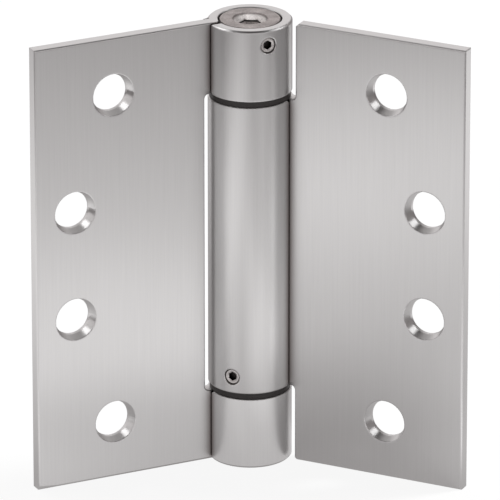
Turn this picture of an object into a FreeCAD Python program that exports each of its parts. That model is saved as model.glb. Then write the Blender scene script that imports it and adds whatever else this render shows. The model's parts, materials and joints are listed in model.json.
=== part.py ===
import FreeCAD, Part
import math
import os
import Sketcher

# Spring loaded door hinge, in millimetres and degrees.
# +Z runs along the barrel and the origin is on the barrel's axis at its foot.
# The frame leaf lies along -X with its countersunk face towards -Y.
# The door leaf and what it carries are drawn as if the hinge lay flat open, and then stand
# turned about the barrel by rest_swing.

driving = (
    ("leaf_height", "114.3"),
    ("leaf_reach", "57.15"),
    ("sheet_thickness", "3.4"),
    ("face_setback", "0.7"),
    ("edge_round", "0.4"),
    ("rest_swing", "51.5"),
    ("barrel_diameter", "20.7"),
    ("knuckle_wall", "2.5"),
    ("end_knuckle", "18.2"),
    ("end_bevel", "0.4"),
    ("knuckle_bevel", "0.15"),
    ("bore_bevel", "0.15"),
    ("seam_width", "0.3"),
    ("curl_round", "1.3"),
    ("root_round", "1.8"),
    ("bend_round", "1.6"),
    ("leaf_clearance", "1.65"),
    ("notch_round", "1.2"),
    ("corner_clip", "0.6"),
    ("inner_hole_reach", "36.3"),
    ("inner_hole_spacing", "85.3"),
    ("outer_hole_reach", "46.7"),
    ("outer_hole_spacing", "27.8"),
    ("hole_diameter", "9.4"),
    ("sink_diameter", "10.8"),
    ("sink_angle", "33"),
    ("ring_thickness", "1.5"),
    ("ring_setback", "0.35"),
    ("running_clearance", "0.1"),
    ("slip_clearance", "0.05"),
    ("journal_diameter", "10"),
    ("bush_length", "12"),
    ("end_float", "1"),
    ("plug_height", "3.5"),
    ("plug_bevel", "0.4"),
    ("rim_gap", "0.4"),
    ("rim_recess", "0.05"),
    ("rim_bevel", "0.15"),
    ("relief_margin", "2.5"),
    ("socket_flats", "5.56"),
    ("socket_depth", "9"),
    ("mouth_diameter", "8.8"),
    ("mouth_depth", "1.7"),
    ("collar_height", "8.5"),
    ("arbor_diameter", "7.6"),
    ("lock_drop", "3.9"),
    ("anchor_rise", "4.2"),
    ("detent_count", "4"),
    ("detent_depth", "0.9"),
    ("anchor_seat_depth", "1.5"),
    ("screw_diameter", "4"),
    ("screw_recess", "0.35"),
    ("screw_bevel", "0.3"),
    ("screw_flats", "2"),
    ("screw_socket_depth", "1.2"),
    ("screw_lead", "0.25"),
    ("dog_diameter", "2.5"),
    ("dog_length", "0.8"),
    ("dog_clearance", "0.2"),
    ("wire_width", "2.2"),
    ("wire_height", "3.2"),
    ("coil_clearance", "0.8"),
    ("coil_spacing", "1.3"),
    ("coil_steps", "14"),
)

derived = (
    # Levels along the barrel
    ("half_height", "=leaf_height / 2"),
    ("top_foot", "=leaf_height - end_knuckle"),
    ("middle_foot", "=end_knuckle + ring_thickness"),
    ("middle_head", "=top_foot - ring_thickness"),
    ("middle_length", "=middle_head - middle_foot"),
    ("lock_level", "=leaf_height - lock_drop"),
    ("anchor_level", "=middle_foot + anchor_rise"),
    # Section of a leaf: distance from the axis, and depth behind the axis
    ("barrel_radius", "=barrel_diameter / 2"),
    ("bore_radius", "=barrel_radius - knuckle_wall"),
    ("back_face", "=face_setback + sheet_thickness"),
    ("tongue_end", "=(barrel_radius + bore_radius) / 2"),
    ("notch_edge", "=barrel_radius + leaf_clearance"),
    ("notch_side", "=notch_edge - notch_round"),
    ("lower_notch_start", "=end_knuckle + notch_round"),
    ("upper_notch_start", "=top_foot - notch_round"),
    ("foot_notch_start", "=middle_foot - notch_round"),
    ("head_notch_start", "=middle_head + notch_round"),
    ("clip_reach", "=notch_edge + corner_clip"),
    ("clip_head", "=leaf_height - corner_clip"),
    # Concave root between the barrel and the back of a leaf
    ("root_depth", "=back_face + root_round"),
    ("root_reach", "=sqrt((barrel_radius + root_round)^2 - root_depth^2)"),
    ("root_share", "=barrel_radius / (barrel_radius + root_round)"),
    ("root_barrel_reach", "=root_reach * root_share"),
    ("root_barrel_depth", "=root_depth * root_share"),
    # Seam between the end of the curl and the countersunk face, which bends into the bore
    ("curl_end", "=face_setback - seam_width"),
    ("seam_outside", "=barrel_radius + seam_width"),
    ("seam_inside", "=bore_radius - seam_width"),
    ("bend_depth", "=face_setback + bend_round"),
    ("bend_reach", "=sqrt((bore_radius + bend_round)^2 - bend_depth^2)"),
    ("bend_share", "=bore_radius / (bore_radius + bend_round)"),
    ("bend_bore_reach", "=bend_reach * bend_share"),
    ("bend_bore_depth", "=bend_depth * bend_share"),
    # Rounded corners of the curl's end, at the seam
    ("seam_depth", "=seam_outside - seam_inside"),
    ("curl_corner", "=curl_end - curl_round"),
    ("bottom_head_round", "=end_knuckle - curl_round"),
    ("top_foot_round", "=top_foot + curl_round"),
    ("top_head_round", "=leaf_height - curl_round"),
    ("middle_foot_round", "=middle_foot + curl_round"),
    ("middle_head_round", "=middle_head - curl_round"),
    # Knuckle rims
    ("rim_edge", "=barrel_radius - knuckle_bevel"),
    ("end_edge", "=barrel_radius - end_bevel"),
    ("bore_edge", "=bore_radius + bore_bevel"),
    ("bottom_head_bevel", "=end_knuckle - knuckle_bevel"),
    ("top_foot_bevel", "=top_foot + knuckle_bevel"),
    ("top_head_bevel", "=leaf_height - end_bevel"),
    ("top_bore_bevel", "=leaf_height - bore_bevel"),
    ("middle_foot_bevel", "=middle_foot + knuckle_bevel"),
    ("middle_head_bevel", "=middle_head - knuckle_bevel"),
    # Screw holes of a leaf
    ("inner_hole_low", "=half_height - inner_hole_spacing / 2"),
    ("inner_hole_high", "=half_height + inner_hole_spacing / 2"),
    ("outer_hole_low", "=half_height - outer_hole_spacing / 2"),
    ("outer_hole_high", "=half_height + outer_hole_spacing / 2"),
    # Rings, bushes and plug
    ("fitted_radius", "=bore_radius - slip_clearance"),
    ("journal_radius", "=journal_diameter / 2"),
    ("journal_bore", "=journal_radius + running_clearance"),
    ("ring_radius", "=barrel_radius - ring_setback"),
    ("upper_bush_foot", "=middle_head - bush_length"),
    ("lower_bush_foot", "=end_knuckle - bush_length"),
    ("plug_edge", "=fitted_radius - plug_bevel"),
    # Spindles
    ("arbor_radius", "=arbor_diameter / 2"),
    ("head_radius", "=bore_radius - running_clearance"),
    ("head_foot", "=top_foot + running_clearance"),
    ("relief_foot", "=lock_level - relief_margin"),
    ("rim_radius", "=bore_radius - rim_gap"),
    ("rim_level", "=leaf_height - rim_recess"),
    ("rim_shoulder", "=rim_level - rim_bevel"),
    ("rim_flat", "=rim_radius - rim_bevel"),
    ("mouth_radius", "=mouth_diameter / 2"),
    ("mouth_floor", "=rim_level - mouth_depth"),
    ("throat_radius", "=mouth_radius - mouth_depth"),
    ("socket_flat", "=socket_flats / 2"),
    ("socket_point", "=socket_flats / sqrt(3)"),
    ("socket_half_side", "=socket_point / 2"),
    ("upper_journal_foot", "=upper_bush_foot - end_float"),
    ("lower_journal_foot", "=plug_height + end_float"),
    ("collar_head", "=middle_foot + collar_height"),
    # Set screws, by distance from the barrel's axis
    ("screw_radius", "=screw_diameter / 2"),
    ("screw_hole", "=screw_diameter + 2 * slip_clearance"),
    ("screw_end", "=barrel_radius - screw_recess"),
    ("screw_end_bevelled", "=screw_end - screw_bevel"),
    ("screw_edge", "=screw_radius - screw_bevel"),
    ("dog_radius", "=dog_diameter / 2"),
    ("detent_diameter", "=dog_diameter + 2 * dog_clearance"),
    ("lock_tip", "=rim_radius + running_clearance"),
    ("lock_shoulder", "=lock_tip + dog_length"),
    ("anchor_seat", "=fitted_radius - anchor_seat_depth"),
    ("anchor_tip", "=anchor_seat + dog_clearance"),
    ("screw_flat", "=screw_flats / 2"),
    ("screw_point", "=screw_flats / sqrt(3)"),
    ("screw_half_side", "=screw_point / 2"),
    ("screw_lead_edge", "=screw_point + screw_lead"),
    ("screw_lead_tip", "=screw_end - screw_lead_edge / sqrt(3)"),
    # Torsion spring, wound so that opening the door tightens it
    ("coil_outside", "=bore_radius - coil_clearance"),
    ("coil_inside", "=coil_outside - wire_width"),
    ("spring_foot", "=collar_head + coil_spacing"),
    ("spring_foot_top", "=spring_foot + wire_height"),
    ("spring_head_top", "=upper_journal_foot - coil_spacing"),
    ("spring_head", "=spring_head_top - wire_height"),
    ("spring_rise", "=spring_head - spring_foot"),
    ("full_turns", "=floor(spring_rise / (wire_height + coil_spacing))"),
    ("spring_turns", "=full_turns - rest_swing / 360"),
    ("spring_pitch", "=spring_rise / spring_turns"),
    ("tang_width", "=wire_width"),
    ("tang_far_end", "=arbor_radius"),
    ("tang_near_end", "=(coil_inside + coil_outside) / 2"),
    ("slot_half", "=tang_width / 2 + running_clearance"),
    ("lower_slot_floor", "=spring_foot - running_clearance"),
    ("lower_arbor_head", "=spring_foot_top + coil_spacing"),
    ("upper_slot_floor", "=spring_head_top + running_clearance"),
    ("upper_arbor_foot", "=spring_head - coil_spacing"),
)

flatness = 1e-4  # two levels this close are the same one

doc = FreeCAD.newDocument("spring_hinge")
sheet = doc.addObject("Spreadsheet::Sheet", "sizes")
for row, (name, content) in enumerate(driving + derived, start=1):
    sheet.set(f"A{row}", name)
    sheet.set(f"B{row}", content)
    sheet.setAlias(f"B{row}", name)
doc.recompute()


def size(name):
    """Number in the sheet. A leading minus gives the mirrored coordinate, and 0 is an axis."""
    if name == "0":
        return 0.0
    if name.startswith("-"):
        return -float(sheet.get(name[1:]))
    return float(sheet.get(name))


def cell(name):
    """Expression for the same cell."""
    if name.startswith("-"):
        return "-sizes." + name[1:]
    return "sizes." + name


def mirrored(name):
    """The same distance on the other side of the barrel."""
    return name[1:] if name.startswith("-") else "-" + name


def new_body(label, carried_by_door=False):
    """Body named for its piece. What the door leaf carries stands turned with it."""
    body = doc.addObject("PartDesign::Body", label)
    body.Label = label
    if carried_by_door:
        body.setExpression("Placement", "placement(vector(0; 0; 0); rotation(vector(0; 0; 1); -sizes.rest_swing))")
    return body


def new_sketch(body, name, plane, offset=None, rise=None, turn=None):
    """Sketch on one of the body's own planes, moved along its normal and its upright, and turned about that."""
    sketch = body.newObject("Sketcher::SketchObject", name)
    support = next(part for part in body.Origin.OriginFeatures if part.Role == plane)
    sketch.AttachmentSupport = (support, "")
    sketch.MapMode = "FlatFace"
    lift = "0" if offset in (None, "0") else cell(offset)
    angle = cell(turn) if turn else "0"
    place = f"placement(vector(0; {cell(rise) if rise else 0}; {lift}); rotation(vector(0; 1; 0); {angle}))"
    sketch.setExpression("AttachmentOffset", place)
    return sketch


def pin(sketch, edge, end, x, y):
    """Ties one end of an edge to two cells of the sheet."""
    for kind, name, axis in (("DistanceX", x, -2), ("DistanceY", y, -1)):
        if name == "0":
            sketch.addConstraint(Sketcher.Constraint("PointOnObject", edge, end, axis))
        else:
            row = sketch.addConstraint(Sketcher.Constraint(kind, -1, 1, edge, end, size(name)))
            sketch.setExpression(f"Constraints[{row}]", cell(name))


def draw(sketch, corners):
    """Closed outline through corners (x, y). A corner (x, y, radius, side) starts an arc whose
    centre lies on its left, side 1, or on its right, side -1."""
    points = [FreeCAD.Vector(size(corner[0]), size(corner[1]), 0) for corner in corners]
    edges = []
    for index, corner in enumerate(corners):
        start = points[index]
        stop = points[(index + 1) % len(points)]
        if len(corner) == 2:
            edges.append((sketch.addGeometry(Part.LineSegment(start, stop), False), 1, 2))
            continue
        radius, side = size(corner[2]), corner[3]
        chord = stop - start
        rise = math.sqrt(max(radius ** 2 - (chord.Length / 2) ** 2, 0))
        centre = (start + stop) * 0.5 + FreeCAD.Vector(-chord.y, chord.x, 0).normalize() * rise * side
        first, last = (start, stop) if side > 0 else (stop, start)
        angles = [math.atan2(point.y - centre.y, point.x - centre.x) for point in (first, last)]
        circle = Part.Circle(centre, FreeCAD.Vector(0, 0, 1), radius)
        edge = sketch.addGeometry(Part.ArcOfCircle(circle, *angles), False)
        edges.append((edge, 1, 2) if side > 0 else (edge, 2, 1))
        row = sketch.addConstraint(Sketcher.Constraint("Radius", edge, radius))
        sketch.setExpression(f"Constraints[{row}]", cell(corner[2]))
    for index, (edge, first, last) in enumerate(edges):
        following, joint, _ = edges[(index + 1) % len(edges)]
        sketch.addConstraint(Sketcher.Constraint("Coincident", edge, last, following, joint))
        pin(sketch, edge, first, corners[index][0], corners[index][1])


def draw_circle(sketch, x, y, diameter):
    """Circle about (x, y)."""
    centre = FreeCAD.Vector(size(x), size(y), 0)
    circle = Part.Circle(centre, FreeCAD.Vector(0, 0, 1), size(diameter) / 2)
    edge = sketch.addGeometry(circle, False)
    pin(sketch, edge, 3, x, y)
    row = sketch.addConstraint(Sketcher.Constraint("Diameter", edge, size(diameter)))
    sketch.setExpression(f"Constraints[{row}]", cell(diameter))


def hexagon(flat, half_side, point):
    """Corners of a hexagon that stands on a point."""
    return (
        ("0", "-" + point),
        (flat, "-" + half_side),
        (flat, half_side),
        ("0", point),
        ("-" + flat, half_side),
        ("-" + flat, "-" + half_side),
    )


def revolve(body, name, sketch):
    """Full turn about the sketch's upright."""
    feature = body.newObject("PartDesign::Revolution", name)
    feature.Profile = sketch
    feature.ReferenceAxis = (sketch, ["V_Axis"])
    feature.Angle = 360
    doc.recompute()
    return feature


def raise_pad(body, name, sketch, length, reverse=False, both=False):
    """Pad of a named length."""
    feature = body.newObject("PartDesign::Pad", name)
    feature.Profile = sketch
    feature.setExpression("Length", cell(length))
    feature.Reversed = reverse
    if both:
        feature.SideType = "Symmetric"
    doc.recompute()
    return feature


def cut_pocket(body, name, sketch, length, reverse=False, both=False):
    """Pocket of a named length, which has to take something away."""
    before = body.Shape.Volume
    feature = body.newObject("PartDesign::Pocket", name)
    feature.Profile = sketch
    feature.setExpression("Length", cell(length))
    feature.Reversed = reverse
    if both:
        feature.SideType = "Symmetric"
    doc.recompute()
    if body.Shape.Volume >= before:
        raise ValueError(f"{body.Label}: {name} cuts nothing")
    return feature


def turned(label, profile, carried_by_door=False):
    """Body turned about the barrel's axis from a half section."""
    body = new_body(label, carried_by_door)
    sketch = new_sketch(body, label + "_profile", "XZ_Plane")
    draw(sketch, profile)
    revolve(body, label + "_turning", sketch)
    return body


def add_leaf(label, side, sheet_outline, knuckles, knuckle_length, curl_ends, screw_level):
    """One leaf: the flat sheet with its tongues, the knuckles curled from them, and its holes.
    side is -1 for the leaf towards -X and 1 for the leaf towards +X.
    knuckles holds the half section of each knuckle, which starts at its foot, and curl_ends the level of
    each end of a knuckle, the level where its rounded corner starts, and 1 for a foot or -1 for a head."""

    def across(name):
        return name if side > 0 else mirrored(name)

    def handed(corner):
        start = (across(corner[0]), corner[1])
        return start if len(corner) == 2 else start + (corner[2], corner[3] * side)

    body = new_body(label, carried_by_door=side > 0)
    flat = new_sketch(body, label + "_outline", "XZ_Plane", offset="-face_setback")
    draw(flat, [handed(corner) for corner in sheet_outline])
    plate = raise_pad(body, label + "_sheet", flat, "sheet_thickness", reverse=True)

    limits = plate.Shape.BoundBox
    outer_edge = limits.XMax if side > 0 else limits.XMin
    rim_edges = [
        f"Edge{index}"
        for index, edge in enumerate(plate.Shape.Edges, start=1)
        if edge.BoundBox.YLength < flatness
        and (
            max(abs(edge.BoundBox.XMin - outer_edge), abs(edge.BoundBox.XMax - outer_edge)) < flatness
            or min(abs(edge.BoundBox.ZMin - limits.ZMax), abs(edge.BoundBox.ZMax - limits.ZMin)) < flatness
        )
    ]
    rounding = body.newObject("PartDesign::Fillet", label + "_edges")
    rounding.Base = (plate, rim_edges)
    rounding.setExpression("Radius", "sizes.edge_round")
    doc.recompute()

    section = new_sketch(body, label + "_knuckle_section", "XZ_Plane")
    for outline in knuckles:
        draw(section, outline)
    revolve(body, label + "_knuckles", section)

    for number, outline in enumerate(knuckles, start=1):
        root = new_sketch(body, f"{label}_root_{number}_section", "XY_Plane", offset=outline[0][1])
        draw(
            root,
            [
                handed(corner)
                for corner in (
                    ("tongue_end", "back_face"),
                    ("root_reach", "back_face", "root_round", -1),
                    ("root_barrel_reach", "root_barrel_depth"),
                )
            ],
        )
        raise_pad(body, f"{label}_root_{number}", root, knuckle_length)

    seam = new_sketch(body, label + "_seam_section", "XY_Plane")
    draw(
        seam,
        [
            handed(corner)
            for corner in (
                ("seam_inside", "curl_end"),
                ("seam_outside", "curl_end"),
                ("seam_outside", "face_setback"),
                ("bend_reach", "face_setback", "bend_round", -1),
                ("bend_bore_reach", "bend_bore_depth"),
            )
        ],
    )
    cut_pocket(body, label + "_seam", seam, "leaf_height", reverse=True)

    corners = new_sketch(body, label + "_curl_corner_section", "YZ_Plane", offset=across("seam_inside"))
    for end, start, direction in curl_ends:
        draw(corners, (("curl_end", end), ("curl_corner", end, "curl_round", direction), ("curl_end", start)))
    cut_pocket(body, label + "_curl_corners", corners, "seam_depth", reverse=side > 0)

    centres = new_sketch(body, label + "_hole_centres", "XZ_Plane", offset="-face_setback")
    for reach, low, high in (
        ("inner_hole_reach", "inner_hole_low", "inner_hole_high"),
        ("outer_hole_reach", "outer_hole_low", "outer_hole_high"),
    ):
        for level in (low, high):
            draw_circle(centres, across(reach), level, "hole_diameter")
    doc.recompute()
    holes = body.newObject("PartDesign::Hole", label + "_screw_holes")
    holes.Profile = centres
    doc.recompute()
    holes.ThreadType = 0
    holes.setExpression("Diameter", "sizes.hole_diameter")
    holes.HoleCutType = 2
    holes.setExpression("HoleCutDiameter", "sizes.sink_diameter")
    holes.setExpression("HoleCutCountersinkAngle", "sizes.sink_angle")
    holes.DepthType = "ThroughAll"
    doc.recompute()

    tapping = new_sketch(body, label + "_set_screw_centre", "XZ_Plane")
    draw_circle(tapping, "0", screw_level, "screw_hole")
    cut_pocket(body, label + "_set_screw_hole", tapping, "barrel_diameter", reverse=True)
    return body


def set_screw(label, level, tip, shoulder, carried_by_door=False):
    """Dog-point set screw that lies along -Y, with a hexagon socket and its lead-in cone in the outer end."""
    body = new_body(label, carried_by_door)
    profile = new_sketch(body, label + "_profile", "XY_Plane", offset=level)
    draw(
        profile,
        (
            ("0", "-" + tip),
            ("dog_radius", "-" + tip),
            ("dog_radius", "-" + shoulder),
            ("screw_radius", "-" + shoulder),
            ("screw_radius", "-screw_end_bevelled"),
            ("screw_edge", "-screw_end"),
            ("screw_lead_edge", "-screw_end"),
            ("0", "-screw_lead_tip"),
        ),
    )
    revolve(body, label + "_turning", profile)
    socket = new_sketch(body, label + "_socket_outline", "XZ_Plane", offset="screw_end", rise=level)
    draw(socket, hexagon("screw_flat", "screw_half_side", "screw_point"))
    cut_pocket(body, label + "_socket", socket, "screw_socket_depth")
    return body


def cut_slot(body, label, floor, end):
    """Slot across the end of a spindle's arbor, for a tang of the spring."""
    sketch = new_sketch(body, label + "_slot_outline", "YZ_Plane")
    draw(sketch, (("-slot_half", floor), ("slot_half", floor), ("slot_half", end), ("-slot_half", end)))
    cut_pocket(body, label + "_slot", sketch, "barrel_diameter", both=True)


# Leaves
bottom_knuckle = (
    ("end_edge", "0"),
    ("barrel_radius", "end_bevel"),
    ("barrel_radius", "bottom_head_bevel"),
    ("rim_edge", "end_knuckle"),
    ("bore_radius", "end_knuckle"),
    ("bore_radius", "bore_bevel"),
    ("bore_edge", "0"),
)
top_knuckle = (
    ("rim_edge", "top_foot"),
    ("barrel_radius", "top_foot_bevel"),
    ("barrel_radius", "top_head_bevel"),
    ("end_edge", "leaf_height"),
    ("bore_edge", "leaf_height"),
    ("bore_radius", "top_bore_bevel"),
    ("bore_radius", "top_foot"),
)
middle_knuckle = (
    ("rim_edge", "middle_foot"),
    ("barrel_radius", "middle_foot_bevel"),
    ("barrel_radius", "middle_head_bevel"),
    ("rim_edge", "middle_head"),
    ("bore_radius", "middle_head"),
    ("bore_radius", "middle_foot"),
)
frame_outline = (
    ("leaf_reach", "0"),
    ("leaf_reach", "leaf_height"),
    ("tongue_end", "leaf_height"),
    ("tongue_end", "top_foot"),
    ("notch_side", "top_foot", "notch_round", -1),
    ("notch_edge", "upper_notch_start"),
    ("notch_edge", "lower_notch_start", "notch_round", -1),
    ("notch_side", "end_knuckle"),
    ("tongue_end", "end_knuckle"),
    ("tongue_end", "0"),
)
door_outline = (
    ("leaf_reach", "0"),
    ("leaf_reach", "leaf_height"),
    ("clip_reach", "leaf_height"),
    ("notch_edge", "clip_head"),
    ("notch_edge", "head_notch_start", "notch_round", -1),
    ("notch_side", "middle_head"),
    ("tongue_end", "middle_head"),
    ("tongue_end", "middle_foot"),
    ("notch_side", "middle_foot", "notch_round", -1),
    ("notch_edge", "foot_notch_start"),
    ("notch_edge", "corner_clip"),
    ("clip_reach", "0"),
)
frame_curl_ends = (
    ("0", "curl_round", 1),
    ("end_knuckle", "bottom_head_round", -1),
    ("top_foot", "top_foot_round", 1),
    ("leaf_height", "top_head_round", -1),
)
door_curl_ends = (
    ("middle_foot", "middle_foot_round", 1),
    ("middle_head", "middle_head_round", -1),
)
frame_knuckles = (bottom_knuckle, top_knuckle)
add_leaf("frame_leaf", -1, frame_outline, frame_knuckles, "end_knuckle", frame_curl_ends, "lock_level")
add_leaf("door_leaf", 1, door_outline, (middle_knuckle,), "middle_length", door_curl_ends, "anchor_level")

# Thrust rings between the knuckles, bearing bushes for the journals
for label, inside, outside, foot, head, on_door in (
    ("upper_ring", "journal_bore", "ring_radius", "middle_head", "top_foot", False),
    ("lower_ring", "journal_bore", "ring_radius", "end_knuckle", "middle_foot", False),
    ("upper_bush", "journal_bore", "fitted_radius", "upper_bush_foot", "middle_head", True),
    ("lower_bush", "journal_bore", "fitted_radius", "lower_bush_foot", "end_knuckle", False),
):
    turned(label, ((inside, foot), (outside, foot), (outside, head), (inside, head)), on_door)

# Plug that closes the bottom knuckle
turned(
    "bottom_plug",
    (
        ("0", "0"),
        ("plug_edge", "0"),
        ("fitted_radius", "plug_bevel"),
        ("fitted_radius", "plug_height"),
        ("0", "plug_height"),
    ),
)

# Tension spindle: adjuster head in the top knuckle, journal, and arbor for the spring's upper tang
tension_spindle = turned(
    "tension_spindle",
    (
        ("0", "upper_arbor_foot"),
        ("arbor_radius", "upper_arbor_foot"),
        ("arbor_radius", "upper_journal_foot"),
        ("journal_radius", "upper_journal_foot"),
        ("journal_radius", "head_foot"),
        ("head_radius", "head_foot"),
        ("head_radius", "relief_foot"),
        ("rim_radius", "relief_foot"),
        ("rim_radius", "rim_shoulder"),
        ("rim_flat", "rim_level"),
        ("mouth_radius", "rim_level"),
        ("throat_radius", "mouth_floor"),
        ("0", "mouth_floor"),
    ),
)
key_outline = new_sketch(tension_spindle, "key_socket_outline", "XY_Plane", offset="rim_level")
draw(key_outline, hexagon("socket_flat", "socket_half_side", "socket_point"))
cut_pocket(tension_spindle, "key_socket", key_outline, "socket_depth")
cut_slot(tension_spindle, "upper_tang", "upper_slot_floor", "upper_arbor_foot")
detent_outline = new_sketch(tension_spindle, "detent_outline", "XZ_Plane", offset="rim_radius")
draw_circle(detent_outline, "0", "lock_level", "detent_diameter")
detent = cut_pocket(tension_spindle, "detent", detent_outline, "detent_depth")
detents = tension_spindle.newObject("PartDesign::PolarPattern", "detents")
detents.Originals = [detent]
barrel_axis = next(part for part in tension_spindle.Origin.OriginFeatures if part.Role == "Z_Axis")
detents.Axis = (barrel_axis, [""])
detents.Angle = 360
detents.setExpression("Occurrences", "sizes.detent_count")
tension_spindle.Tip = detents
doc.recompute()

# Anchor spindle: journal in the bottom knuckle, collar in the middle one, arbor for the lower tang
anchor_spindle = turned(
    "anchor_spindle",
    (
        ("0", "lower_journal_foot"),
        ("journal_radius", "lower_journal_foot"),
        ("journal_radius", "middle_foot"),
        ("fitted_radius", "middle_foot"),
        ("fitted_radius", "collar_head"),
        ("arbor_radius", "collar_head"),
        ("arbor_radius", "lower_arbor_head"),
        ("0", "lower_arbor_head"),
    ),
    carried_by_door=True,
)
cut_slot(anchor_spindle, "lower_tang", "lower_slot_floor", "lower_arbor_head")
seat_outline = new_sketch(anchor_spindle, "anchor_seat_outline", "XZ_Plane", offset="fitted_radius")
draw_circle(seat_outline, "0", "anchor_level", "detent_diameter")
cut_pocket(anchor_spindle, "anchor_seat_hole", seat_outline, "anchor_seat_depth")

# Set screws
set_screw("lock_screw", "lock_level", "lock_tip", "lock_shoulder")
set_screw("anchor_screw", "anchor_level", "anchor_tip", "bore_radius", carried_by_door=True)

# Torsion spring: coil of rectangular wire in short straight runs, with a tang across the axis at each end


def wire_corners(turns):
    """Corners of the wire's section, this many turns up from the lower tang."""
    angle = -2 * math.pi * turns
    outwards = FreeCAD.Vector(math.cos(angle), math.sin(angle), 0)
    foot = size("spring_foot") + size("spring_pitch") * turns
    head = foot + size("wire_height")
    return [
        outwards * size(reach) + FreeCAD.Vector(0, 0, level)
        for reach, level in (
            ("coil_inside", foot),
            ("coil_outside", foot),
            ("coil_outside", head),
            ("coil_inside", head),
        )
    ]


def flat_face(*corners):
    """Flat face with these corners."""
    return Part.Face(Part.makePolygon(corners + corners[:1]))


def tang(foot, turn):
    """Straight end of the wire, across the axis."""
    length = size("tang_near_end") + size("tang_far_end")
    bar = Part.makeBox(length, size("tang_width"), size("wire_height"))
    bar.translate(FreeCAD.Vector(-size("tang_far_end"), -size("tang_width") / 2, foot))
    bar.rotate(FreeCAD.Vector(0, 0, 0), FreeCAD.Vector(0, 0, 1), turn)
    return bar


runs = math.ceil(size("coil_steps") * size("spring_turns"))
sections = [wire_corners(size("spring_turns") * run / runs) for run in range(runs + 1)]
coil_faces = [flat_face(*sections[0]), flat_face(*sections[-1])]
for here, there in zip(sections, sections[1:]):
    coil_faces.append(flat_face(here[1], there[1], there[2], here[2]))
    coil_faces.append(flat_face(here[3], there[3], there[0], here[0]))
    for inner, outer in ((0, 1), (3, 2)):
        coil_faces.append(flat_face(here[inner], here[outer], there[outer]))
        coil_faces.append(flat_face(here[inner], there[outer], there[inner]))
coil_shell = Part.Shell(coil_faces)
coil_shell.sewShape()
coil = Part.Solid(coil_shell)
if coil.Volume < 0:
    coil.reverse()
torsion_spring = doc.addObject("Part::Feature", "torsion_spring")
torsion_spring.Label = "torsion_spring"
torsion_spring.Shape = coil.fuse(
    [tang(size("spring_foot"), 0), tang(size("spring_head"), size("rest_swing"))]
).removeSplitter()
torsion_spring.Placement = FreeCAD.Placement(
    FreeCAD.Vector(0, 0, 0), FreeCAD.Rotation(FreeCAD.Vector(0, 0, 1), -size("rest_swing"))
)

doc.recompute()
pieces = [item for item in doc.Objects if item.isDerivedFrom("PartDesign::Body")] + [torsion_spring]
for item in doc.Objects:
    if "Invalid" in item.State or "Error" in item.State:
        raise ValueError(f"{item.Label} did not build: {item.State}")
for piece in pieces:
    if piece.Shape.isNull() or not piece.Shape.isValid() or len(piece.Shape.Solids) != 1:
        raise ValueError(f"{piece.Label} is not one sound solid")

os.makedirs("parts", exist_ok=True)
for piece in pieces:
    piece.Shape.exportStep(f"parts/{piece.Label}.step")
    print(f"{piece.Label}: {piece.Shape.Volume:.1f} mm3")
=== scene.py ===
import json
import math

import bpy
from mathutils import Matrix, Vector


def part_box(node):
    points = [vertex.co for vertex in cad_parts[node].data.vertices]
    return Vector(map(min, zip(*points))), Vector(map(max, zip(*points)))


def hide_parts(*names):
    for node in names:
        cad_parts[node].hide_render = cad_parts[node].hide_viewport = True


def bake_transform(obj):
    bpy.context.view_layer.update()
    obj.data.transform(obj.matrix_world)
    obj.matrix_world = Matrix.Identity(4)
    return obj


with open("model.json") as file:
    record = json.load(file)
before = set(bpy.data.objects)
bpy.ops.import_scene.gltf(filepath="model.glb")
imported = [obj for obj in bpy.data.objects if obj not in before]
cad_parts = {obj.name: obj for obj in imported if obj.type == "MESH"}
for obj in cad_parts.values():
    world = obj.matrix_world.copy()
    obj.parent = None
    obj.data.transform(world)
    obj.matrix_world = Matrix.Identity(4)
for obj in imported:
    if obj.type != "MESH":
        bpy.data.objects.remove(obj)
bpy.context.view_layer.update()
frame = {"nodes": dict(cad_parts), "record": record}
nodes = frame["nodes"]
print("frame loaded:", len(nodes), "pieces")


# Node helpers

helperLook = {
    "noiseMiddle": (0.3, 0.7),  # where most of a noise lies
    "tintStops": (0.25, 0.75),
    "fineDetail": 4.0,
    "fineRoughness": 0.65,
    "fineBump": 0.5,
    "edgeSamples": 6,
    "grainUp": (0.02, 0.03, 1.0),  # a little off +Z, so that level faces have a direction too
}
white = (1.0, 1.0, 1.0)


def newMaterial(name):
    material = bpy.data.materials.new(name)
    material.use_nodes = True
    tree = material.node_tree
    tree.nodes.clear()
    output = tree.nodes.new("ShaderNodeOutputMaterial")
    shader = tree.nodes.new("ShaderNodeBsdfPrincipled")
    tree.links.new(shader.outputs["BSDF"], output.inputs["Surface"])
    return material, tree, shader


def objectPlace(tree, stretch):
    place = tree.nodes.new("ShaderNodeTexCoord")
    mapping = tree.nodes.new("ShaderNodeMapping")
    mapping.inputs["Scale"].default_value = stretch
    tree.links.new(place.outputs["Object"], mapping.inputs["Vector"])
    return mapping.outputs["Vector"]


def addNoise(tree, vector, detail=2.0, roughness=0.5):
    noise = tree.nodes.new("ShaderNodeTexNoise")
    noise.inputs["Scale"].default_value = 1.0
    noise.inputs["Detail"].default_value = detail
    noise.inputs["Roughness"].default_value = roughness
    tree.links.new(vector, noise.inputs["Vector"])
    return noise.outputs["Fac"]


def fineGrain(tree, stretch):
    place = objectPlace(tree, stretch)
    return addNoise(tree, place, helperLook["fineDetail"], helperLook["fineRoughness"])


def spread(tree, value, target, source=helperLook["noiseMiddle"]):
    span = tree.nodes.new("ShaderNodeMapRange")
    span.inputs["From Min"].default_value = source[0]
    span.inputs["From Max"].default_value = source[1]
    span.inputs["To Min"].default_value = target[0]
    span.inputs["To Max"].default_value = target[1]
    tree.links.new(value, span.inputs["Value"])
    return span.outputs["Result"]


def shareOf(tree, value, source):
    return spread(tree, value, (0.0, 1.0), source)


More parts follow.
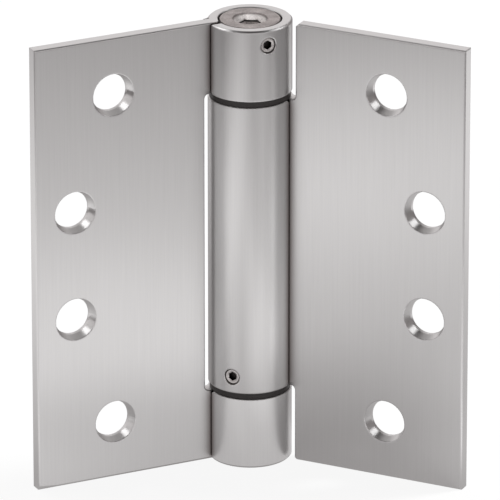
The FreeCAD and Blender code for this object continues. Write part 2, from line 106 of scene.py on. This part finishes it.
def tint(tree, value, dark, light):
    ramp = tree.nodes.new("ShaderNodeValToRGB")
    stops = zip(ramp.color_ramp.elements, helperLook["tintStops"], (dark, light))
    for stop, place, colour in stops:
        stop.position = place
        stop.color = (*colour, 1.0)
    tree.links.new(value, ramp.inputs["Fac"])
    return ramp.outputs["Color"]


def joinValues(tree, operation, values):
    total = values[0]
    for value in values[1:]:
        step = tree.nodes.new("ShaderNodeMath")
        step.operation = operation
        tree.links.new(total, step.inputs[0])
        tree.links.new(value, step.inputs[1])
        total = step.outputs[0]
    return total


def blendColour(tree, share, first, second):
    mix = tree.nodes.new("ShaderNodeMix")
    mix.data_type = "RGBA"
    mix.clamp_factor = False
    # this node also has sockets for numbers and vectors: its colours are inputs 6 and 7 and output 2
    for value, socket in ((share, 0), (first, 6), (second, 7)):
        if isinstance(value, tuple):
            mix.inputs[socket].default_value = (*value, 1.0)
        else:
            tree.links.new(value, mix.inputs[socket])
    return mix.outputs[2]


def softEdges(tree, radius):
    bevel = tree.nodes.new("ShaderNodeBevel")
    bevel.samples = helperLook["edgeSamples"]
    bevel.inputs["Radius"].default_value = radius
    return bevel.outputs["Normal"]


def addBump(tree, height, strength, distance, normal):
    bump = tree.nodes.new("ShaderNodeBump")
    bump.inputs["Strength"].default_value = strength
    bump.inputs["Distance"].default_value = distance
    tree.links.new(height, bump.inputs["Height"])
    tree.links.new(normal, bump.inputs["Normal"])
    return bump.outputs["Normal"]


def acrossTheGrain(tree):
    # level direction in the surface, square to an upright grain
    facing = tree.nodes.new("ShaderNodeNewGeometry")
    level = tree.nodes.new("ShaderNodeVectorMath")
    level.operation = "CROSS_PRODUCT"
    level.inputs[1].default_value = helperLook["grainUp"]
    tree.links.new(facing.outputs["Normal"], level.inputs[0])
    return level.outputs["Vector"]


# Brushed stainless steel of the two leaves

leafSteel = {
    "dark": (0.582, 0.578, 0.578),
    "light": (0.614, 0.61, 0.61),
    "roughness": (0.278, 0.308),  # below 0.275 the denoiser leaves faint marks
    "metallic": 1.0,
    "anisotropy": 0.55,
    "grainStretch": (2600.0, 2600.0, 45.0),
    "grainDetail": 3.0,
    "grainRoughness": 0.6,
    "grainDepth": 0.000003,
    "grainBump": 0.25,
    "cloudStretch": (60.0, 60.0, 25.0),
    "edgeRadius": 0.00045,
    "paintedShade": (0.2, 0.17, 0.162),  # painted shade in corners and under edges, where ambient occlusion finds it
    "paintedShadeReach": 0.0035,
    "paintedShadeSamples": 8,
    "paintedShadeSpan": (0.42, 0.93),  # share of open sky, from full painted shade to none
}


def makeLeafSteel():
    material, tree, shader = newMaterial("leafSteel")
    upright = objectPlace(tree, leafSteel["grainStretch"])
    grain = addNoise(tree, upright, leafSteel["grainDetail"], leafSteel["grainRoughness"])
    cloud = addNoise(tree, objectPlace(tree, leafSteel["cloudStretch"]))
    brushed = tint(tree, grain, leafSteel["dark"], leafSteel["light"])
    # painted shade: the colour darkens towards the shade colour in corners and under edges, by ambient
    # occlusion
    paintedShade = tree.nodes.new("ShaderNodeAmbientOcclusion")
    paintedShade.samples = leafSteel["paintedShadeSamples"]
    paintedShade.only_local = True
    paintedShade.inputs["Distance"].default_value = leafSteel["paintedShadeReach"]
    clear = shareOf(tree, paintedShade.outputs["AO"], leafSteel["paintedShadeSpan"])
    tree.links.new(blendColour(tree, clear, leafSteel["paintedShade"], brushed), shader.inputs["Base Color"])
    tree.links.new(spread(tree, cloud, leafSteel["roughness"], (0.0, 1.0)), shader.inputs["Roughness"])
    rounded = softEdges(tree, leafSteel["edgeRadius"])
    bumped = addBump(tree, grain, leafSteel["grainBump"], leafSteel["grainDepth"], rounded)
    tree.links.new(bumped, shader.inputs["Normal"])
    tree.links.new(acrossTheGrain(tree), shader.inputs["Tangent"])
    shader.inputs["Metallic"].default_value = leafSteel["metallic"]
    shader.inputs["Anisotropic"].default_value = leafSteel["anisotropy"]
    return material


# Dark moulded thrust rings

ringDark = {
    "dark": (0.011, 0.0085, 0.008),
    "light": (0.029, 0.0235, 0.022),
    "roughness": (0.38, 0.55),
    "metallic": 0.0,
    "grainStretch": (1800.0, 1800.0, 1800.0),
    "grainDepth": 0.00002,
    "edgeRadius": 0.0002,
}

# Sintered steel of the anchor spindle

sintered = {
    "dark": (0.19, 0.172, 0.166),
    "light": (0.36, 0.33, 0.32),
    "roughness": (0.42, 0.62),
    "metallic": 1.0,
    "grainStretch": (2600.0, 2600.0, 2600.0),
    "grainDepth": 0.00004,
    "edgeRadius": 0.0003,
}

# Adjuster's worn top, coloured by depth: dull flat, painted shadow under the countersink's lip,
# countersink brighter partly as machined metal and partly as painted light, black painted shadow where
# the key socket starts, painted highlight on the socket's wall

adjusterTop = {
    "depth": 0.004,
    "stops": (  # share of that depth, colour
        (0.0, (0.37, 0.334, 0.326)),
        (0.02, (0.29, 0.26, 0.254)),
        # painted shadow under the countersink's lip
        (0.06, (0.15, 0.132, 0.128)),
        # countersink, brighter partly as machined metal and partly as painted light
        (0.16, (0.58, 0.55, 0.54)),
        (0.36, (0.52, 0.49, 0.48)),
        # black painted shadow where the key socket starts
        (0.40, (0.02, 0.017, 0.016)),
        (0.46, (0.02, 0.017, 0.016)),
        # painted highlight on the key socket's wall
        (0.52, (0.78, 0.73, 0.72)),
        (1.0, (0.6, 0.56, 0.55)),
    ),
    "grain": (0.55, 1.3),
    "stain": (0.72, 1.12),
    "stainStretch": (420.0, 420.0, 420.0),
    "stainDetail": 3.0,
    "roughness": (0.42, 0.6),
    "metallic": 0.75,
    "grainStretch": (3600.0, 3600.0, 3600.0),
    "grainDepth": 0.00005,
    "grainBump": 0.6,
    "edgeRadius": 0.0002,
}

# Set screws, bright at the rim, with painted shade in the key socket

screwSteel = {
    "socketDepth": (0.0002, 0.0006),  # where the painted shade starts and where it is full
    # painted shade colour of the key socket
    "socket": (0.025, 0.022, 0.021),
    "dark": (0.42, 0.40, 0.395),
    "light": (0.74, 0.715, 0.705),
    "roughness": (0.25, 0.42),
    "metallic": 1.0,
    "grainStretch": (3000.0, 3000.0, 3000.0),
    "grainDepth": 0.00002,
    "edgeRadius": 0.00008,
}

# Oiled spring wire

springSteel = {
    "dark": (0.13, 0.13, 0.14),
    "light": (0.27, 0.27, 0.29),
    "roughness": (0.28, 0.42),
    "metallic": 1.0,
    "grainStretch": (900.0, 900.0, 2500.0),
    "grainDepth": 0.00001,
    "edgeRadius": 0.0003,
}

# Sintered bronze of the bushes

bushBronze = {
    "dark": (0.36, 0.24, 0.10),
    "light": (0.60, 0.42, 0.20),
    "roughness": (0.35, 0.55),
    "metallic": 1.0,
    "grainStretch": (2400.0, 2400.0, 2400.0),
    "grainDepth": 0.00002,
    "edgeRadius": 0.0003,
}

# Turned steel of the bottom plug

plugSteel = {
    "dark": (0.42, 0.415, 0.41),
    "light": (0.58, 0.572, 0.568),
    "roughness": (0.28, 0.40),
    "metallic": 1.0,
    "grainStretch": (1500.0, 1500.0, 1500.0),
    "grainDepth": 0.00001,
    "edgeRadius": 0.0003,
}


def makeGrained(name, look):
    material, tree, shader = newMaterial(name)
    grain = fineGrain(tree, look["grainStretch"])
    tree.links.new(tint(tree, grain, look["dark"], look["light"]), shader.inputs["Base Color"])
    tree.links.new(spread(tree, grain, look["roughness"]), shader.inputs["Roughness"])
    rounded = softEdges(tree, look["edgeRadius"])
    bumped = addBump(tree, grain, helperLook["fineBump"], look["grainDepth"], rounded)
    tree.links.new(bumped, shader.inputs["Normal"])
    shader.inputs["Metallic"].default_value = look["metallic"]
    return material


def depthBelow(tree, node, outward):
    # distance from a piece's outermost point, measured into the piece
    level = max(outward.dot(vertex.co) for vertex in nodes[node].data.vertices)
    place = tree.nodes.new("ShaderNodeTexCoord")
    along = tree.nodes.new("ShaderNodeVectorMath")
    along.operation = "DOT_PRODUCT"
    along.inputs[1].default_value = outward
    tree.links.new(place.outputs["Object"], along.inputs[0])
    depth = tree.nodes.new("ShaderNodeMath")
    depth.operation = "SUBTRACT"
    depth.inputs[0].default_value = level
    tree.links.new(along.outputs["Value"], depth.inputs[1])
    return depth.outputs[0]


def outOfBarrel(node):
    low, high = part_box(node)
    return Vector((low[0] + high[0], low[1] + high[1], 0.0)).normalized()


def makeAdjuster(node):
    material, tree, shader = newMaterial("adjusterTop")
    depth = depthBelow(tree, node, Vector((0.0, 0.0, 1.0)))
    ramp = tree.nodes.new("ShaderNodeValToRGB")
    stops = ramp.color_ramp.elements
    while len(stops) < len(adjusterTop["stops"]):
        stops.new(1.0)
    for stop, (place, colour) in zip(stops, adjusterTop["stops"]):
        stop.position = place
        stop.color = (*colour, 1.0)
    tree.links.new(shareOf(tree, depth, (0.0, adjusterTop["depth"])), ramp.inputs["Fac"])
    grain = fineGrain(tree, adjusterTop["grainStretch"])
    stain = addNoise(tree, objectPlace(tree, adjusterTop["stainStretch"]), adjusterTop["stainDetail"])
    shades = [spread(tree, grain, adjusterTop["grain"]), spread(tree, stain, adjusterTop["stain"])]
    speckled = tree.nodes.new("ShaderNodeVectorMath")
    speckled.operation = "SCALE"
    tree.links.new(ramp.outputs["Color"], speckled.inputs[0])
    tree.links.new(joinValues(tree, "MULTIPLY", shades), speckled.inputs["Scale"])
    tree.links.new(speckled.outputs["Vector"], shader.inputs["Base Color"])
    tree.links.new(spread(tree, grain, adjusterTop["roughness"]), shader.inputs["Roughness"])
    rounded = softEdges(tree, adjusterTop["edgeRadius"])
    bumped = addBump(tree, grain, adjusterTop["grainBump"], adjusterTop["grainDepth"], rounded)
    tree.links.new(bumped, shader.inputs["Normal"])
    shader.inputs["Metallic"].default_value = adjusterTop["metallic"]
    return material


def makeSetScrew(node):
    material, tree, shader = newMaterial(node)
    grain = fineGrain(tree, screwSteel["grainStretch"])
    bright = tint(tree, grain, screwSteel["dark"], screwSteel["light"])
    depth = depthBelow(tree, node, outOfBarrel(node))
    # painted shade: dark below the screw's outer face, in the key socket
    inside = shareOf(tree, depth, screwSteel["socketDepth"])
    tree.links.new(blendColour(tree, inside, bright, screwSteel["socket"]), shader.inputs["Base Color"])
    tree.links.new(spread(tree, grain, screwSteel["roughness"]), shader.inputs["Roughness"])
    rounded = softEdges(tree, screwSteel["edgeRadius"])
    bumped = addBump(tree, grain, helperLook["fineBump"], screwSteel["grainDepth"], rounded)
    tree.links.new(bumped, shader.inputs["Normal"])
    shader.inputs["Metallic"].default_value = screwSteel["metallic"]
    return material


finishes = {
    "leaf_steel": makeLeafSteel(),
    "ring_dark": makeGrained("ringDark", ringDark),
    "adjuster_steel": makeGrained("sinteredSteel", sintered),
    "spring_steel": makeGrained("springSteel", springSteel),
    "bush_bronze": makeGrained("bushBronze", bushBronze),
    "plug_steel": makeGrained("plugSteel", plugSteel),
}
ownFinishes = {
    "tension_spindle": makeAdjuster("tension_spindle"),
    "lock_screw": makeSetScrew("lock_screw"),
    "anchor_screw": makeSetScrew("anchor_screw"),
}
for subpart in frame["record"]["subparts"]:
    node = subpart["node"]
    finish = ownFinishes[node] if node in ownFinishes else finishes[subpart["material_slot"]]
    nodes[node].data.materials.clear()
    nodes[node].data.materials.append(finish)
print("finishes given to", len(nodes), "pieces")


# Torsion spring, which in the real hinge winds up between the two leaves as the door swings; here a
# copy of its mesh stands in for the CAD piece


def makeSpring():
    spring = bpy.data.objects.new("windingSpring", nodes["torsion_spring"].data.copy())
    bpy.context.scene.collection.objects.link(spring)
    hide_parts("torsion_spring")
    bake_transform(spring)


makeSpring()


# Floor, seen white by the camera, and by the steel that mirrors it as a glow with painted pools of
# light

floorLook = {
    "halfWidth": 3.0,
    "colour": (0.86, 0.86, 0.86),
    "glowShare": 0.9,  # share of the floor's glow (white to the camera, painted pools of light to the steel), beside its lit paint
    "outside": (0.17, 0.15, 0.148),  # painted glow outside the pools
    "inside": (1.28, 1.26, 1.255),  # painted glow in a pool of share 1
    "pools": (
        {"centre": (0.0, -0.11), "reach": (0.09, 0.07), "share": 0.56},
        {"centre": (-0.19, -0.09), "reach": (0.19, 0.39), "share": 1.02},
        {"centre": (0.03, -0.205), "reach": (0.19, 0.4), "share": 0.62},
        {"centre": (0.185, -0.185), "reach": (0.07, 0.07), "share": 1.4},
        {"centre": (0.12, -0.125), "reach": (0.06, 0.06), "share": 1.25},
        {"centre": (0.065, -0.075), "reach": (0.04, 0.04), "share": 1.0},
        {"centre": (0.012, -0.055), "reach": (0.032, 0.028), "share": 0.09},
        {"centre": (0.3, 0.03), "reach": (0.32, 0.18), "share": 1.1},
        {"centre": (-0.2, -0.07), "reach": (0.09, 0.1), "share": 0.1},
        {"centre": (-0.035, -0.075), "reach": (0.045, 0.04), "share": 0.2},
        {"centre": (-0.045, -0.018), "reach": (0.065, 0.036), "share": 0.1},
        {"centre": (-0.078, -0.034), "reach": (0.04, 0.03), "share": 0.22},
        {"centre": (-0.07, -0.145), "reach": (0.05, 0.07), "share": 0.35},
        {"centre": (0.0, 0.3), "reach": (0.6, 0.3), "share": 0.12},
        {"centre": (-0.15, 0.23), "reach": (0.2, 0.34), "share": 0.7},
    ),
}


def seenDirectly(tree):
    ray = tree.nodes.new("ShaderNodeLightPath")
    kinds = ("Is Camera Ray", "Is Glossy Ray", "Is Transmission Ray")
    direct = joinValues(tree, "MAXIMUM", [ray.outputs[kind] for kind in kinds])
    return direct, ray.outputs["Is Glossy Ray"]


def paintedLightPool(tree, pool):
    place = tree.nodes.new("ShaderNodeTexCoord")
    shift = tree.nodes.new("ShaderNodeVectorMath")
    shift.operation = "SUBTRACT"
    shift.inputs[1].default_value = (*pool["centre"], 0.0)
    shrink = tree.nodes.new("ShaderNodeVectorMath")
    shrink.operation = "DIVIDE"
    shrink.inputs[1].default_value = (*pool["reach"], 1.0)
    length = tree.nodes.new("ShaderNodeVectorMath")
    length.operation = "LENGTH"
    tree.links.new(place.outputs["Object"], shift.inputs[0])
    tree.links.new(shift.outputs["Vector"], shrink.inputs[0])
    tree.links.new(shrink.outputs["Vector"], length.inputs[0])
    fade = tree.nodes.new("ShaderNodeMapRange")
    fade.interpolation_type = "SMOOTHSTEP"
    fade.inputs["To Min"].default_value = pool["share"]
    fade.inputs["To Max"].default_value = 0.0
    tree.links.new(length.outputs["Value"], fade.inputs["Value"])
    return fade.outputs["Result"]


def makeFloor():
    half = floorLook["halfWidth"]
    mesh = bpy.data.meshes.new("floor")
    corners = [(-half, -half, 0), (half, -half, 0), (half, half, 0), (-half, half, 0)]
    mesh.from_pydata(corners, [], [(0, 1, 2, 3)])
    floor = bpy.data.objects.new("floor", mesh)
    bpy.context.scene.collection.objects.link(floor)
    material = bpy.data.materials.new("paleFloor")
    material.use_nodes = True
    tree = material.node_tree
    tree.nodes.clear()
    output = tree.nodes.new("ShaderNodeOutputMaterial")
    paint = tree.nodes.new("ShaderNodeBsdfDiffuse")
    paint.inputs["Color"].default_value = (*floorLook["colour"], 1.0)
    glow = tree.nodes.new("ShaderNodeEmission")
    direct, mirrored = seenDirectly(tree)
    # painted pools of light, shown only to glossy rays
    lit = joinValues(tree, "ADD", [paintedLightPool(tree, pool) for pool in floorLook["pools"]])
    pooled = blendColour(tree, lit, floorLook["outside"], floorLook["inside"])
    tree.links.new(blendColour(tree, mirrored, white, pooled), glow.inputs["Color"])
    share = tree.nodes.new("ShaderNodeMath")
    share.operation = "MULTIPLY"
    share.inputs[1].default_value = floorLook["glowShare"]
    tree.links.new(direct, share.inputs[0])
    mix = tree.nodes.new("ShaderNodeMixShader")
    tree.links.new(share.outputs[0], mix.inputs["Fac"])
    tree.links.new(paint.outputs["BSDF"], mix.inputs[1])
    tree.links.new(glow.outputs["Emission"], mix.inputs[2])
    tree.links.new(mix.outputs["Shader"], output.inputs["Surface"])
    mesh.materials.append(material)


# Backdrop, white to the camera and a room with walls and a ceiling to the steel

worldLook = {
    "fill": (0.34, 0.33, 0.33),
    "walls": (1.0, 0.965, 0.96),
    "sideWall": (0.3, 0.275, 0.27),
    "ceiling": (0.06, 0.053, 0.052),
    "backCeiling": (0.55, 0.53, 0.525),
    "sideEdge": (0.55, 0.85),  # share of a look that points along +X
    "ceilingTurn": (0.1, 0.5),  # share of a look that points along +Y
    "wallHead": (0.45, 0.62),  # share of a look that points straight up
}


def makeWorld():
    world = bpy.data.worlds.new("studio")
    bpy.context.scene.world = world
    world.use_nodes = True
    tree = world.node_tree
    tree.nodes.clear()
    output = tree.nodes.new("ShaderNodeOutputWorld")
    background = tree.nodes.new("ShaderNodeBackground")
    look = tree.nodes.new("ShaderNodeTexCoord")
    turned = tree.nodes.new("ShaderNodeSeparateXYZ")
    tree.links.new(look.outputs["Generated"], turned.inputs["Vector"])
    side = shareOf(tree, turned.outputs["X"], worldLook["sideEdge"])
    rise = shareOf(tree, turned.outputs["Z"], worldLook["wallHead"])
    walls = blendColour(tree, side, worldLook["walls"], worldLook["sideWall"])
    back = shareOf(tree, turned.outputs["Y"], worldLook["ceilingTurn"])
    ceiling = blendColour(tree, back, worldLook["ceiling"], worldLook["backCeiling"])
    room = blendColour(tree, rise, walls, ceiling)
    direct, mirrored = seenDirectly(tree)
    shown = blendColour(tree, mirrored, white, room)
    tree.links.new(blendColour(tree, direct, worldLook["fill"], shown), background.inputs["Color"])
    tree.links.new(background.outputs["Background"], output.inputs["Surface"])


makeFloor()
makeWorld()
print("floor and backdrop made")


# Lamps, aimed at the middle of the hinge unless they say otherwise

lampAim = (0.0, 0.0, 0.05)
lamps = {
    "key": {"place": (0.95, -0.1, 0.72), "size": 0.35, "watts": 16.0},
    "leftBox": {"place": (-0.67, 0.5, 0.9), "size": 0.6, "watts": 1.8, "mirrored": True},
    "rightBox": {"place": (0.87, -0.24, 0.85), "size": 0.6, "watts": 1.8, "mirrored": True},
    "spot": {
        "place": (-0.16, -0.33, 1.05),
        "aim": (0.0, 0.0, 0.11),
        "size": 0.75,
        "watts": 6.0,
        "mirrored": True,
        "lights": "tension_spindle",
    },
    "back": {"place": (-0.2, 1.0, 0.75), "size": 0.7, "watts": 5.0},
    "card": {
        "place": (0.0, -0.038, 0.0005),
        "aim": (0.0, -0.038, 1.0),
        "size": 0.22,
        "depth": 0.088,
        "watts": 0.0138,
        "mirrored": True,
        "lights": "frame_leaf",
    },
}


def makeLamps():
    for name, lamp in lamps.items():
        data = bpy.data.lights.new(name, "AREA")
        data.shape = "ELLIPSE"
        data.size = lamp["size"]
        data.size_y = lamp.get("depth", lamp["size"])
        data.energy = lamp["watts"]
        item = bpy.data.objects.new(name, data)
        item.location = lamp["place"]
        item.rotation_mode = "QUATERNION"
        beam = Vector(lamp.get("aim", lampAim)) - item.location
        item.rotation_quaternion = beam.to_track_quat("-Z", "Y")
        item.visible_camera = False
        item.visible_glossy = "mirrored" in lamp
        bpy.context.scene.collection.objects.link(item)
        if "lights" in lamp:
            lit = bpy.data.collections.new(name + "Lit")
            lit.objects.link(nodes[lamp["lights"]])
            item.light_linking.receiver_collection = lit


makeLamps()
print("lamps set")


# Camera, at the photograph's viewing angle

cameraLook = {
    "azimuth": -25.75,
    "elevation": 21.18,
    "distance": 1.9281,
    "aim": (0.0, 0.0, 0.0538),
    "lens": 565.1,
    "sensor": 36.0,
    "clip": (0.01, 20.0),
}


def makeCamera():
    turn = math.radians(cameraLook["azimuth"])
    rise = math.radians(cameraLook["elevation"])
    level = math.cos(rise)
    back = Vector((math.sin(turn) * level, -math.cos(turn) * level, math.sin(rise)))
    data = bpy.data.cameras.new("camera")
    data.lens = cameraLook["lens"]
    data.sensor_width = cameraLook["sensor"]
    data.clip_start, data.clip_end = cameraLook["clip"]
    camera = bpy.data.objects.new("camera", data)
    camera.location = Vector(cameraLook["aim"]) + back * cameraLook["distance"]
    camera.rotation_mode = "QUATERNION"
    camera.rotation_quaternion = (-back).to_track_quat("-Z", "Y")
    bpy.context.scene.collection.objects.link(camera)
    bpy.context.scene.camera = camera


makeCamera()
bpy.context.scene.view_settings.view_transform = "Standard"
print("camera set")
